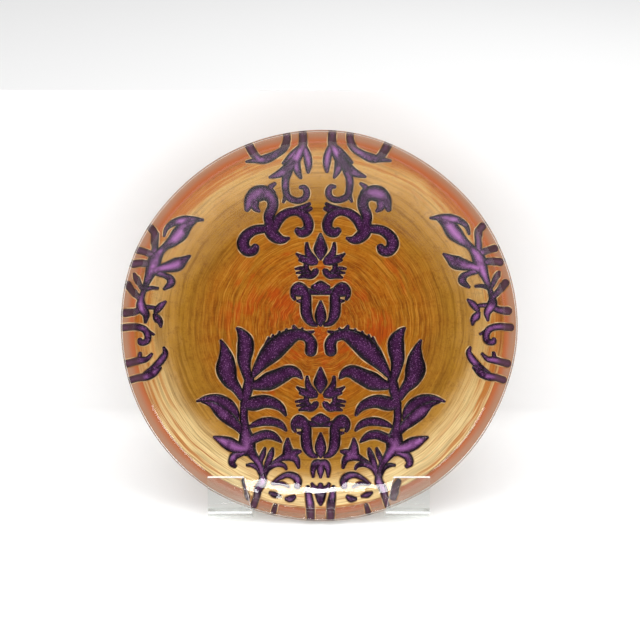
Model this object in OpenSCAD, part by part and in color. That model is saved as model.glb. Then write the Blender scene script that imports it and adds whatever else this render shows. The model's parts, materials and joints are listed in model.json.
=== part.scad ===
// Reverse-decorated glass display plate standing in a one-piece clear acrylic easel.
// Frame: +Z up, the plate faces -Y and leans back towards +Y, X is across the plate.
// The origin is on the table, under the centre of the object's box.

/* [Plate] */
// Outer diameter of the plate
plate_d = 330; // [300:1:340]
// Diameter of the flat well, measured on the back
well_d = 216; // [200:1:224]
// Height of the rim's back above the well's back
rim_rise = 17; // [12:0.5:20]
// Thickness of the glass
glass_t = 5; // [4:0.25:6]
// Thickness of the enamel and of the gold ground between it
colour_t = 0.6; // [0.4:0.1:1]
// Thickness of the sealing coat on the back
seal_t = 0.3; // [0.2:0.1:0.5]
// Width of the clear lip that the gold ground leaves free
lip_w = 9; // [6:0.5:12]

/* [Easel] */
// Lean of the plate and of the easel's panel from upright, in degrees
lean = 18; // [14:0.5:22]
// Width of the easel
easel_w = 186; // [170:1:200]
// Thickness of the acrylic sheet
sheet_t = 4; // [3:0.25:5]
// Length of the panel above the ledges
panel_h = 232; // [200:1:250]
// Depth of the ledges, from the panel to the lips
ledge_d = 31; // [28:0.5:36]
// Height of the lips above the ledges
lip_h = 34; // [28:0.5:40]
// Gap between the two ledges
ledge_gap = 110; // [100:1:120]
// Gap between the two lips at their tops
lip_gap = 124; // [120:1:136]

/* [Decoration] */
// How far the pattern's axis sits to the right of the plate's centre
axis = 1.5; // [0:0.5:3]
// Segments between two points of a stroke
steps = 3; // [2:1:5]

/* [Hidden] */

enamel_colour = "#4b1a5c";
gold_colour = "#c98a2e";
amber_colour = "#d9874f";
glass_colour = [0.9, 0.95, 0.95, 0.35];
acrylic_colour = [0.92, 0.96, 1.0, 0.35];
seal_colour = "#8a5a22";

plate_r = plate_d / 2;
well_r = well_d / 2;
edge_r = 2.4;                      // half the thickness of the rounded lip
wash_r = plate_r - edge_r;         // the colours stop where the lip starts to round
ground_r = plate_r - lip_w;
rim_slope = rim_rise / (plate_r - 7 - well_r);
contact_gap = 0.3;                 // running clearance between the plate and the easel

// ---------------------------------------------------------------- easel geometry
bend_r = 5;                        // bend radius at the middle of the sheet
bend_steps = 12;
ledge_rise = 8;                    // the ledges rise this many degrees towards the front
lip_splay = 5;                     // the lips lean this many degrees outwards
leg_splay = 12;                    // the rear leg's angle from upright
leg_reach = 260;                   // long enough to pass through the table before it is cut
arch_w = 116;                      // opening in the rear leg
arch_z = 86;                       // height at which the opening's round top starts

// The sheet's middle line in the plane of the profile: x is forwards, y is up the panel.
half_sheet = sheet_t / 2;
corner = [-half_sheet, -half_sheet];
ledge_front = [ledge_d + half_sheet, corner[1] + (ledge_d + sheet_t) * tan(ledge_rise)];
lip_top = ledge_front + lip_h * [sin(lip_splay), cos(lip_splay)];
panel_top = [-half_sheet, panel_h];
leg_angle = lean + leg_splay;      // between the panel and the rear leg
leg_end = panel_top + leg_reach * [-sin(leg_angle), -cos(leg_angle)];
sheet_line = [lip_top, ledge_front, corner, panel_top, leg_end];

function unit(v) = v / norm(v);
function left_of(v) = [-v[1], v[0]];
function turn(a, b) = atan2(a[0] * b[1] - a[1] * b[0], a * b);

// One bend of the sheet at q, between p and r, as [point, normal] pairs along the middle line.
function bend(p, q, r) =
    let (a = unit(q - p), b = unit(r - q), angle = turn(a, b), side = sign(angle),
         start = q - a * bend_r * tan(abs(angle) / 2), centre = start + left_of(a) * side * bend_r)
    [for (i = [0 : bend_steps])
        let (s = angle * i / bend_steps, n0 = left_of(a),
             n = [n0[0] * cos(s) - n0[1] * sin(s), n0[0] * sin(s) + n0[1] * cos(s)])
        [centre - n * side * bend_r, n]];

function sheet_frames(line) = concat(
    [[line[0], left_of(unit(line[1] - line[0]))]],
    [for (i = [1 : len(line) - 2]) each bend(line[i - 1], line[i], line[i + 1])],
    [[line[len(line) - 1], left_of(unit(line[len(line) - 1] - line[len(line) - 2]))]]);

function reversed(list) = [for (i = [len(list) - 1 : -1 : 0]) list[i]];

// The lowest point of the bend under the ledges stands on the table.
bend_centre = corner + [1, 1] * bend_r;    // near enough for a bend of about a right angle
table_drop = bend_r + half_sheet - (bend_centre[0] * sin(lean) + bend_centre[1] * cos(lean));

// The plate's centre above the ledges, where its edge meets their inner corners.
// Where the lip's round leaves the sloping back, and the height of the round's centre.
rim_angle = atan(rim_slope);
tangent_r = wash_r + edge_r * sin(rim_angle);
edge_axial = seal_t + colour_t + (tangent_r - well_r) * rim_slope + edge_r * cos(rim_angle);
seat_rise = (edge_axial + edge_r + contact_gap) * tan(ledge_rise);
seat_h = sqrt(plate_r * plate_r - ledge_gap * ledge_gap / 4) + contact_gap + seat_rise;

// Depth of the whole object, for centring it over the origin.
function depth_of(p) = p[1] * sin(lean) - p[0] * cos(lean);
front_y = min([for (f = sheet_frames(sheet_line), side = [-1, 1]) depth_of(f[0] + side * f[1] * half_sheet)]);
leg_height = panel_top[0] * sin(lean) + panel_top[1] * cos(lean) + table_drop;
rear_y = depth_of(panel_top) + leg_height * tan(leg_splay) + half_sheet / cos(leg_splay);
centre_y = (front_y + rear_y) / 2;

module on_panel() translate([0, -centre_y, table_drop]) rotate([90 - lean, 0, 0]) children();
module on_seat() on_panel() translate([0, seat_h, contact_gap]) children();

// ---------------------------------------------------------------- plate geometry
// Axial height of the plate's back at radius r.
function back(r) = max(0, r - well_r) * rim_slope;

module layer(low, high, inner, outer) rotate_extrude($fn = 180)
    polygon([for (r = [inner, max(inner, well_r), outer]) [r, back(r) + low],
             for (r = [outer, max(inner, well_r), inner]) [r, back(r) + high]]);

function glass_front(r) = seal_t + colour_t + glass_t + max(0, r - well_r + 1) * rim_slope;

module glass_plate() color(glass_colour) on_seat() rotate_extrude($fn = 180)
    polygon(concat(
        [[0, seal_t + colour_t], [well_r, seal_t + colour_t]],
        [for (i = [0 : 6]) let (a = rim_angle - 90 + i * (160 - rim_angle) / 6)
            [wash_r + edge_r * cos(a), edge_axial + edge_r * sin(a)]],
        [[plate_r - 8, glass_front(plate_r - 8)], [well_r - 1, glass_front(well_r - 1)],
         [0, glass_front(0)]]));

module sealing_coat() color(seal_colour) on_seat() layer(0, seal_t, 0, ground_r);

module gold_ground() color(gold_colour) on_seat() difference() {
    layer(seal_t, seal_t + colour_t, 0, ground_r);
    pattern(concat(rim_sides, field_sides), concat(rim_middles, field_middles));
}

module amber_rim_wash() color(amber_colour) on_seat() difference() {
    layer(seal_t, seal_t + colour_t, ground_r, wash_r - 1);
    pattern(rim_sides, rim_middles);
}

// ---------------------------------------------------------------- strokes
// A stroke is a row of [across, up, half width] points. It is drawn as a smooth curve through them.
function spline(a, b, c, d, t) =
    0.5 * (2 * b + (c - a) * t + (2 * a - 5 * b + 4 * c - d) * t * t + (3 * b - a - 3 * c + d) * t * t * t);

function smooth(s) =
    let (n = len(s), first = 2 * s[0] - s[1], last = 2 * s[n - 1] - s[n - 2],
         p = concat([first], s, [last]))
    [for (i = [1 : n - 1], k = [0 : steps - 1]) spline(p[i - 1], p[i], p[i + 1], p[i + 2], k / steps),
     s[n - 1]];

function spot(p) = [p[0], p[1]];

// Both sides of a stroke and its two rounded ends, as one outline.
function outline(s) =
    let (p = smooth(s), n = len(p),
         dir = [for (i = [0 : n - 1]) unit(spot(p[min(i + 1, n - 1)]) - spot(p[max(i - 1, 0)]))],
         cap0 = spot(p[0]) - dir[0] * 0.8 * p[0][2],
         cap1 = spot(p[n - 1]) + dir[n - 1] * 0.8 * p[n - 1][2])
    concat([for (i = [0 : n - 1]) spot(p[i]) + left_of(dir[i]) * p[i][2]], [cap1],
           [for (i = [n - 1 : -1 : 0]) spot(p[i]) - left_of(dir[i]) * p[i][2]], [cap0]);

module strokes(list) for (s = list) linear_extrude(height = 40) polygon(outline(s));

// The motifs to the left of the pattern's axis, and those to its right, which are set by hand
// and so sit a little off the exact mirror image.
module on_axis(list) translate([axis, 0, 0]) strokes(list);
module on_right(list, nudge) translate([nudge[0], nudge[1], 0]) mirror([1, 0, 0]) strokes(list);

module motif(list) color(enamel_colour) on_seat() intersection() {
    layer(seal_t, seal_t + colour_t, 0, wash_r - 1);
    strokes(list);
}

module mirrored(list, nudge) color(enamel_colour) on_seat() intersection() {
    layer(seal_t, seal_t + colour_t, 0, wash_r - 1);
    on_right(list, nudge);
}

function moved(list, up) = [for (s = list) [for (p = s) p + [0, up, 0]]];

// The finial's centre pieces, and its left half, with their feet at height 0.
finial_centre = [
    [[0, 78.5, 0.5], [0, 72, 3.4], [0, 65, 5.6], [0, 59.5, 3.2], [0, 56, 0.5]],
    [[-7, 33, 1.4], [0, 33, 5.2], [7, 33, 1.4]],
    [[0, 21.5, 0.5], [0, 15, 3.2], [0, 8, 4.6], [0, 3, 3.2], [0, 0, 0.8]]];
finial_half = [
    [[-11.5, 70.5, 0.9], [-11, 65, 1.9], [-9, 59.5, 3], [-5, 56, 2.4], [-2.6, 54.5, 0.8]],
    [[-18, 56, 0.8], [-13, 56, 3], [-7.5, 54.5, 3], [-3.5, 53.5, 1.4]],
    [[-21.5, 48.5, 0.5], [-16, 49, 1.5], [-11.5, 47.5, 1.6], [-9, 44.5, 1.8]],
    [[-18.5, 41, 0.6], [-12.5, 43, 2.4], [-7.5, 43, 2.6], [-4, 46.5, 2.4], [-3, 47.5, 1.5]],
    [[-21.5, 22.5, 1], [-23, 26, 1.8], [-22.4, 31, 2.4], [-18.6, 34, 3], [-14.4, 31, 3.6],
     [-12.2, 25, 4], [-12.4, 17, 4.3], [-11.5, 9, 4.2], [-8, 3, 2.8], [-3, 0.5, 1]],
    [[-20, 28.5, 3.2], [-16.5, 29, 4]],
    [[-20, 21.5, 0.6], [-13, 20.5, 2.6]]];
lower_finial_up = -114;

bell_centre = [[[0, -118.5, 2.4], [0, -125, 2.8], [0, -131, 0.7]]];
bell_half = [[[1, -119.5, 2.8], [-4, -119, 3], [-6.3, -124, 2.2], [-6.4, -130.5, 0.7]]];

crown_centre = [[[0, -136.5, 1.8], [0, -142, 4.6], [0, -149, 3], [0, -153, 0.7]]];
crown_half = [
    [[-7.6, -135.4, 0.8], [-5, -139.5, 2.2], [1, -141.5, 2.6]],
    [[-11, -138, 1.3], [-10.2, -145, 2.6], [-8.8, -153, 3.2], [-8.4, -164, 3]]];

bough_leaves = [
    [[-61, -106, 6.5], [-61.5, -99, 6.8], [-63, -89, 3.8], [-64, -78, 3], [-63, -67, 3.2],
     [-61, -57, 4], [-59, -48, 4], [-58, -41, 2]],
    [[-83, -12, 0.6], [-80.3, -18.5, 2.8], [-78.5, -28, 6.4], [-78.5, -38, 8.4], [-75.5, -47, 6.4],
     [-70, -54, 4], [-65, -62, 3]],
    [[-69.5, -1.5, 0.6], [-66, -5, 3], [-62.3, -12, 6.2], [-62, -20, 6.6], [-63.2, -29, 5.6],
     [-62, -38, 4], [-59.5, -46, 3.6]],
    [[-56, -43, 2], [-49, -33, 5.2], [-40, -22.5, 8.6], [-29.5, -13, 7.8], [-19, -7.5, 5],
     [-10.5, -9.3, 4], [-6.5, -15, 4.6], [-6.8, -22, 4.6]],
    [[-19, -6, 3.6], [-21.5, 0.5, 0.6]],
    [[-12, -7, 2.4], [-4, -4.6, 0.5]],
    [[-45, -21, 3], [-42, -9.5, 0.6]],
    [[-59, -51, 2.5], [-52, -50.8, 4.4], [-43, -48, 7.4], [-34, -43.8, 6.8], [-25, -39.6, 5.6],
     [-18.5, -40.8, 3.6], [-14, -45.5, 0.6]],
    [[-104, -64.5, 0.5], [-95, -62.2, 2.4], [-85, -63.6, 4.2], [-76.5, -68.5, 4.6], [-71, -75, 2.8],
     [-68.6, -81, 0.5]],
    [[-100, -64.8, 0.5], [-91.5, -67.2, 2.6], [-83, -74, 5.6], [-75.5, -81, 5], [-68.5, -87.5, 3.4],
     [-63, -94, 2.6]],
    [[-63, -68, 4.4], [-55, -67, 6], [-46, -65.2, 5.4], [-38, -67, 4.4], [-32, -71, 3],
     [-28, -77.5, 0.8]],
    [[-60.5, -88, 0.6], [-54, -85, 2.4], [-46, -82.8, 3.4], [-38, -83.2, 3.3], [-32, -86, 2.6],
     [-27.5, -91, 0.6]],
    [[-60, -99.5, 4], [-53, -96.5, 3.8], [-46, -94.2, 3.8], [-40, -95, 3.4], [-35.5, -97.8, 2.2],
     [-32, -100.8, 0.6]],
    [[-90, -94.8, 0.5], [-84, -97.5, 3], [-77, -101, 5.2], [-70, -104.5, 4.8], [-63, -105.5, 4]],
    [[-60, -106, 4], [-67, -109.5, 2.6], [-72.5, -112, 3.2], [-74, -117, 2.8], [-71, -120.5, 1]]];

floret_spray = [
    [[-61, -104, 6], [-56.5, -111, 3.6], [-51.5, -118, 2.6], [-48.5, -126, 2.4], [-48, -133, 3.2],
     [-51.5, -139, 3], [-53, -145, 2.6], [-55.5, -152, 2.6]],
    [[-46, -105.5, 0.8], [-47.8, -111, 2.1], [-50, -117, 1.8], [-49, -124, 1.4]],
    [[-39.5, -106, 1], [-41, -111, 2.4], [-43.3, -117, 2.4], [-46, -125, 1.8], [-47.5, -131, 1.8]],
    [[-62, -119.5, 0.6], [-57, -119.5, 1.6], [-52, -123, 1.4], [-49, -129, 1.4]],
    [[-47.5, -130, 1.6], [-43, -122.5, 2], [-36, -119.2, 2.2], [-30, -120.5, 1.6], [-27.5, -124, 0.6]],
    [[-26.5, -97.5, 0.8], [-26.8, -104, 3.2], [-26, -111, 5]],
    [[-25, -111.5, 4.6], [-19.5, -109.5, 2.6], [-15.5, -108.8, 1]],
    [[-26, -111.5, 4.4], [-19.5, -115.5, 2.8], [-17.2, -123, 0.8]],
    [[-26, -112, 4.4], [-33, -115, 2], [-41, -119.5, 1.6]],
    [[-67, -134, 1], [-63.5, -140, 2.2], [-61, -146, 2.2]]];

bough = concat(bough_leaves, floret_spray);

arch_scroll = [
    [[-40.5, -135.5, 0.6], [-34, -131, 1.5], [-27, -128.2, 2.1], [-20.5, -129.8, 2.8],
     [-17.6, -134, 2.9], [-18.6, -138.2, 2.2]],
    [[-39, -135.8, 0.7], [-32, -135, 1.2], [-25, -138.5, 0.6]]];

petal_drops = [
    [[-42.5, -142, 0.5], [-38, -144, 2], [-32.5, -145.5, 0.5]],
    [[-28.5, -147.5, 0.9], [-24, -147.6, 2.4], [-20.5, -145.8, 1.2]],
    [[-37, -152.5, 1.6], [-38.5, -157.5, 2]]];

upper_scroll = [
    [[-40.5, 86, 4], [-41.5, 93, 4.2], [-38.5, 101, 4.2], [-39, 107.5, 4.6], [-44, 112.2, 6],
     [-51, 112, 6.6], [-56.5, 107, 5.2], [-60, 98.5, 1.8]],
    [[-54, 106, 4.2], [-53, 100.5, 2.8], [-49.5, 97, 0.8]],
    [[-39, 112, 3], [-40.5, 117, 2.2], [-36, 121, 0.9]],
    [[-38, 82, 4], [-33.5, 90, 3.9], [-27, 95.3, 3.5], [-19, 96.8, 3.2], [-12, 93.5, 3.6],
     [-8.6, 87, 3.9], [-9.8, 81, 3.9], [-14.5, 79.2, 3.9], [-18, 81, 2.4]],
    [[-20, 98.5, 2], [-12.5, 100.4, 2.1], [-7.5, 103.5, 1.1]],
    [[-13, 96, 2], [-6.5, 99.5, 1.4]],
    [[-41, 82, 3], [-47, 82.2, 3.4], [-55, 80.6, 3.8], [-61.5, 75.5, 4.4], [-63.4, 69, 4.8],
     [-60, 63.8, 4.3], [-55, 64, 3.8], [-52.8, 67, 2.8]],
    [[-42, 86, 3.5], [-40, 79.8, 5], [-35.5, 75, 4.6], [-30, 73, 3], [-24.5, 74.5, 0.7]]];

stem_crook = [
    [[-25, 131, 3], [-27.5, 124, 2.8], [-27.5, 115.5, 2.6], [-25.3, 109, 2.5], [-18, 105.9, 2.3],
     [-11.8, 108, 2.4], [-10, 113, 2.4], [-12, 117.2, 1.9], [-15.6, 117.4, 1.2]],
    [[-27, 111, 2], [-29.7, 104.5, 0.7]],
    [[-17, 148, 3], [-21, 139.5, 4], [-27, 132.2, 4.2], [-34, 128.3, 2.6], [-41, 126, 0.7]],
    [[-16, 150, 2.6], [-22.5, 143.5, 2.8], [-30, 137.5, 0.6]],
    [[-19.5, 139, 4], [-17.5, 131, 2.6], [-14.7, 125, 0.8]],
    [[-20.5, 138, 4], [-16, 147, 3.6], [-13, 154, 3.1], [-13, 163, 2.8]],
    [[-8.8, 129.8, 0.9], [-8.6, 137, 2.8], [-9.5, 144, 3], [-12, 151, 2.4]]];

top_arc = [
    [[-60, 139.5, 0.6], [-52, 140.5, 2], [-44, 141.5, 3.4], [-36, 145, 2.8], [-29, 150, 2.6],
     [-26.2, 156, 2.7], [-26, 161.5, 2.6]],
    [[-49, 141.3, 2.6], [-53.5, 146, 3], [-57, 152.5, 3.2]]];

side_spray = [
    [[-96, 90.7, 0.6], [-104, 91.2, 2.4], [-112, 90.5, 3.8], [-120, 89, 2.6], [-126, 84.5, 1.6],
     [-128.5, 77.5, 0.5]],
    [[-102, 91, 1.5], [-110, 86.5, 4.8], [-116, 79, 6.2], [-122, 73, 4.4], [-129, 67.5, 2.6],
     [-135, 61, 4]],
    [[-131, 66, 2.6], [-136, 59, 5], [-138.5, 51, 5], [-142, 42.5, 3], [-145.8, 33, 1.8],
     [-148.5, 25, 2.4], [-148.4, 18.5, 3.8], [-144.8, 11.5, 2.6], [-145.5, 4.5, 0.7]],
    [[-136, 60, 3], [-136, 70, 2.4], [-135.5, 80, 2.6], [-138.5, 85, 2.8]],
    [[-138, 62, 3], [-143, 64.5, 2.4], [-149, 66.5, 2.8]],
    [[-139, 54, 3], [-146, 55.5, 2.6], [-153.5, 55, 3]],
    [[-107.5, 60.5, 0.5], [-112.5, 57, 3], [-118, 53.5, 5.6], [-125, 51.5, 4.6], [-131, 50.5, 3.4],
     [-137, 49, 4]],
    [[-134, 47, 3], [-129, 44.3, 2], [-124.7, 41.5, 2.8], [-124.2, 37, 3], [-130, 32.3, 0.8]],
    [[-146, 31.5, 1], [-141, 34, 1.4], [-134.5, 33.5, 0.8]],
    [[-146.5, 31, 0.9], [-149, 37, 1.6], [-151.5, 43, 1.9], [-153, 47, 0.8]],
    [[-149, 25, 2], [-154, 31, 2.2], [-158.5, 38, 2.8]],
    [[-128.5, 22, 0.7], [-132.5, 18.5, 2.4], [-136, 14.5, 2.3], [-137.5, 11.5, 1]],
    [[-138, 11.7, 1.2], [-136, 8, 2.9], [-133.6, 4.5, 2.2], [-133, 0, 0.6]],
    [[-136, 16.5, 1.3], [-141, 17.5, 1.5], [-147, 18, 2]],
    [[-148, 17, 2.4], [-154, 14.5, 2.6], [-161, 14, 3.2]]];

rim_scroll = [
    [[-163, 1.6, 2.8], [-154, 1.8, 2.6], [-146.5, -0.8, 2.5], [-143.6, -6.5, 2.5],
     [-145, -11.3, 2.4], [-149.2, -11.8, 2.3], [-150.3, -9, 1.4]],
    [[-145, -2.5, 2.2], [-138.5, -6, 0.6]]];

rim_leaf = [
    [[-161, -29, 3], [-156, -28, 2.7], [-150.5, -26.8, 2.8], [-145, -26.3, 1.9], [-140.5, -22, 0.8]],
    [[-151, -27, 2], [-150, -20.5, 1]],
    [[-131, -17, 0.7], [-129.8, -22, 2.1], [-133, -28, 2.9], [-139, -33.5, 2.3], [-147, -38.5, 1]],
    [[-134.5, -34, 1.8], [-140, -38.5, 3.4], [-146, -41, 3.1], [-152, -41.5, 2.6], [-158, -43, 2.6]]];

// Each side motif with the step its right-hand twin takes from the exact mirror image.
bough_step = [3.4, 0];
arch_step = [3.5, 0];
scroll_step = [-1.5, 0];
crook_step = [-2, 0.5];
arc_step = [-0.5, 0.8];
spray_step = [-3.5, 1.5];
rim_step = [-3, 0];

rim_sides = [[stem_crook, crook_step], [top_arc, arc_step], [side_spray, spray_step],
             [rim_scroll, rim_step], [rim_leaf, rim_step], [petal_drops, arch_step],
             [floret_spray, bough_step]];
field_sides = [[bough_leaves, bough_step], [arch_scroll, arch_step], [upper_scroll, scroll_step]];
rim_middles = [crown_centre, crown_half];
field_middles = [finial_centre, finial_half, moved(finial_centre, lower_finial_up),
                 moved(finial_half, lower_finial_up), bell_centre, bell_half];

module pattern(sides, middles) {
    for (list = middles) {
        on_axis(list);
        translate([axis, 0, 0]) mirror([1, 0, 0]) strokes(list);
    }
    for (side = sides) {
        strokes(side[0]);
        on_right(side[0], side[1]);
    }
}

module whole(centre, half) color(enamel_colour) on_seat() intersection() {
    layer(seal_t, seal_t + colour_t, 0, wash_r - 1);
    translate([axis, 0, 0]) union() {
        strokes(centre);
        strokes(half);
        mirror([1, 0, 0]) strokes(half);
    }
}

// ---------------------------------------------------------------- easel
module sheet() {
    frames = sheet_frames(sheet_line);
    rotate([90, 0, 90]) translate([0, 0, -easel_w / 2]) linear_extrude(height = easel_w)
        polygon(concat([for (f = frames) f[0] + f[1] * half_sheet],
                       reversed([for (f = frames) f[0] - f[1] * half_sheet])));
}

// The sheet's profile lies in the plane across X, with its forward direction along -Y.
module easel() color(acrylic_colour) intersection() {
    difference() {
        on_panel() rotate([-90, 0, 0]) mirror([0, 1, 0]) sheet();
        on_panel() lip_notch();
        rear_arch();
    }
    translate([-plate_r, -plate_r, 0]) cube([plate_d, plate_d * 2, plate_d * 2]);
}

module lip_notch() {
    notch_top = lip_h + 20;
    notch_low = 20;
    widen = (lip_gap - ledge_gap) / 2 / lip_h;
    low_half = ledge_gap / 2 - widen * notch_low;
    top_half = ledge_gap / 2 + widen * notch_top;
    translate([0, 0, bend_r]) linear_extrude(height = ledge_d + 20)
        polygon([[-low_half, -notch_low], [low_half, -notch_low], [top_half, notch_top], [-top_half, notch_top]]);
    translate([-ledge_gap / 2, -notch_low, -20]) cube([ledge_gap, notch_low + bend_r, ledge_d + 40]);
}

module rear_arch() translate([0, 65 - centre_y, 0]) rotate([-90, 0, 0]) linear_extrude(height = 90) {
    translate([-arch_w / 2, -arch_z]) square([arch_w, arch_z + 10]);
    translate([0, -arch_z]) circle(r = arch_w / 2, $fn = 96);
}

glass_plate();
gold_ground();
amber_rim_wash();
sealing_coat();
easel();
whole(finial_centre, finial_half);  // upper_finial
whole(moved(finial_centre, lower_finial_up), moved(finial_half, lower_finial_up));  // lower_finial
whole(bell_centre, bell_half);  // bell_drop
whole(crown_centre, crown_half);  // base_crown
motif(bough);  // left_bough
mirrored(bough, bough_step);  // right_bough
motif(arch_scroll);  // left_arch_scroll
mirrored(arch_scroll, arch_step);  // right_arch_scroll
motif(petal_drops);  // left_petal_drops
mirrored(petal_drops, arch_step);  // right_petal_drops
motif(upper_scroll);  // left_upper_scroll
mirrored(upper_scroll, scroll_step);  // right_upper_scroll
motif(stem_crook);  // left_stem_crook
mirrored(stem_crook, crook_step);  // right_stem_crook
motif(top_arc);  // left_top_arc
mirrored(top_arc, arc_step);  // right_top_arc
motif(side_spray);  // left_side_spray
mirrored(side_spray, spray_step);  // right_side_spray
motif(rim_scroll);  // left_rim_scroll
mirrored(rim_scroll, rim_step);  // right_rim_scroll
motif(rim_leaf);  // left_rim_leaf
mirrored(rim_leaf, rim_step);  // right_rim_leaf
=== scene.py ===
"""Finished look of a gold-backed glass display plate leaning in a clear acrylic easel."""

import json
import logging
import math
from collections.abc import Callable, Iterable
from dataclasses import dataclass
from enum import Enum

import bmesh
import bpy
from bmesh.types import BMesh
from mathutils import Matrix, Vector, noise


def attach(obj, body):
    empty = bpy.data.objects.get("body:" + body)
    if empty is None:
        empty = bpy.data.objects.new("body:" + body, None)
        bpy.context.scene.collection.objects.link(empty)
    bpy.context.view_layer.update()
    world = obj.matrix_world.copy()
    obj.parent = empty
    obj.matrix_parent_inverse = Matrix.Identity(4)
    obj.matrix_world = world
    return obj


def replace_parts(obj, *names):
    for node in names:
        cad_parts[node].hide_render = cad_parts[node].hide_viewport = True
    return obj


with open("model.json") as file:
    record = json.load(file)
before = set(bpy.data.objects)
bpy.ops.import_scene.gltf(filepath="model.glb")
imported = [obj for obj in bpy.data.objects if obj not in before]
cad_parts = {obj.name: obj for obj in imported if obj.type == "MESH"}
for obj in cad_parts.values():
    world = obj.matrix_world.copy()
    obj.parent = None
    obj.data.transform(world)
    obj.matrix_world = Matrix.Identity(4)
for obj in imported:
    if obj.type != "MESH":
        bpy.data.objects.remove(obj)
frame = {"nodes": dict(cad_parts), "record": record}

LOG = logging.getLogger("display_plate")
MM = 0.001  # metres in a millimetre
MERGE = 0.000002  # points nearer than this, in metres, are one

Pair = tuple[float, float]
Path = tuple[tuple[float, float, float], ...]
Colour = tuple[float, float, float, float]
Socket = bpy.types.NodeSocket
Inputs = dict[str | int, object]


def tint(code: str) -> Colour:
    """Turns a six-digit display colour into a linear one.

    Args:
        code: Red, green and blue as hexadecimal digits.

    Returns:
        The linear colour with full alpha.
    """

    def linear(value: float) -> float:
        """Undoes the display curve for one channel."""
        return value / 12.92 if value <= 0.04045 else ((value + 0.055) / 1.055) ** 2.4

    channels = [linear(int(code[i : i + 2], 16) / 255.0) for i in (0, 2, 4)]
    return (channels[0], channels[1], channels[2], 1.0)


# ------------------------------------------------------------------ place and profile


@dataclass(frozen=True)
class PlateFrame:
    """The plate's own axes: across, up its face, and out towards the viewer."""

    centre: Vector
    up: Vector
    out: Vector

    @classmethod
    def from_record(cls, record: dict, well_height: float) -> "PlateFrame":
        """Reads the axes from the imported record.

        Args:
            record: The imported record.
            well_height: Height of the well's front above the seat, in millimetres.

        Returns:
            The plate's frame, with its centre on the seat plane.
        """
        mount = next(m for m in record["mounts"] if m["name"] == "dish_face")
        joint = record["behaviour"]["joints"][0]
        out = Vector(mount["axis"]).normalized()
        up = Vector(joint["axis"]).normalized()
        return cls(Vector(mount["pos_m"]) - out * well_height * MM, up, out)

    @property
    def matrix(self) -> Matrix:
        """Millimetres in the plate's axes to metres in the row's frame.

        Returns:
            The transform.
        """
        across = self.up.cross(self.out)
        turn = Matrix((across, self.up, self.out)).transposed().to_4x4()
        return Matrix.Translation(self.centre) @ turn @ Matrix.Scale(MM, 4)

    @property
    def lean(self) -> float:
        """Turn about the X axis that lays the plate's axes on the row's, in radians."""
        return math.atan2(self.up.z, self.up.y)


@dataclass(frozen=True)
class DishProfile:
    """Section of the slumped glass, in millimetres."""

    radius: float = 165.0
    well_radius: float = 98.0
    slope_end: float = 160.0
    rise: float = 17.6
    curl: float = 1.6
    coat: float = 0.9
    glass: float = 5.0
    ground_radius: float = 156.0
    wash_radius: float = 164.1
    lip_round: float = 2.3
    ridge: tuple[tuple[float, float], ...] = (
        (150.0, 0.05), (152.6, -0.05), (153.6, 0.0), (154.2, 0.14), (154.8, 0.3), (155.4, 0.34), (156.0, 0.2),
        (156.6, -0.08), (157.4, -0.5), (158.6, -0.95), (160.0, -1.5), (161.6, -2.1), (163.2, -2.9),
    )

    def back(self, r: float) -> float:
        """Height of the back.

        Args:
            r: Distance from the centre.

        Returns:
            The height above the seat.
        """
        if r <= self.well_radius:
            return 0.0
        return self.rise * ((r - self.well_radius) / (self.slope_end - self.well_radius)) ** self.curl

    def edge(self, angle: float) -> float:
        """How far the hand-made outline departs from the circle.

        Args:
            angle: Direction from the centre, in radians.

        Returns:
            The outline's distance as a share of the circle's.
        """
        return (
            1.0
            - 0.009 * math.sin(2.0 * angle) ** 2 * max(0.0, math.sin(angle))
            + 0.0016 * math.sin(5.0 * angle + 1.0)
            + 0.0011 * math.sin(9.0 * angle + 2.0)
        )

    def back_at(self, across: float, up: float) -> float:
        """Height of the back under a point of the pattern."""
        r = math.hypot(across, up)
        return self.back(r / self.edge(math.atan2(up, across))) if r > 1.0 else 0.0

    def glass_section(self) -> list[Pair]:
        """Section of the glass from the centre of the front round the lip to the centre of the back.

        Returns:
            Radius and height pairs.
        """
        front = self.coat + self.glass
        lip = [(r, self.back(r) + front + rise) for r, rise in self.ridge]
        turn_r = self.radius - self.lip_round
        turn_h = self.back(turn_r) + self.coat + 2.2
        bend = self.lip_round
        angles = [math.radians(a) for a in (44, 24, 4, -16, -36, -54)]
        turned = [(turn_r + bend * math.cos(a), turn_h + bend * math.sin(a)) for a in angles]
        rings = [0.0, 20.0, 40.0, 60.0, 80.0, 92.0] + [96.0 + 3.6 * i for i in range(15)]
        back = [(r, self.back(r) + self.coat) for r in reversed(rings + [152.0, 157.0, 161.6])]
        return [(r, self.back(r) + front) for r in rings] + lip + turned + back

    def sheet_section(self, inner: float, outer: float, low: float, high: float) -> list[Pair]:
        """Closed section of a thin coat that follows the back.

        Args:
            inner: Inner radius, or 0 for a full disc.
            outer: Outer radius.
            low: Height of the coat's back above the seat.
            high: Height of the coat's front above the seat.

        Returns:
            Radius and height pairs, from the front's centre to the back's.
        """
        count = 44
        radii = [inner + (outer - inner) * i / count for i in range(count + 1)]
        top = [(r, self.back(r) + high) for r in radii]
        return top + [(r, self.back(r) + low) for r in reversed(radii)]


# ------------------------------------------------------------------ shader graphs


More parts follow.
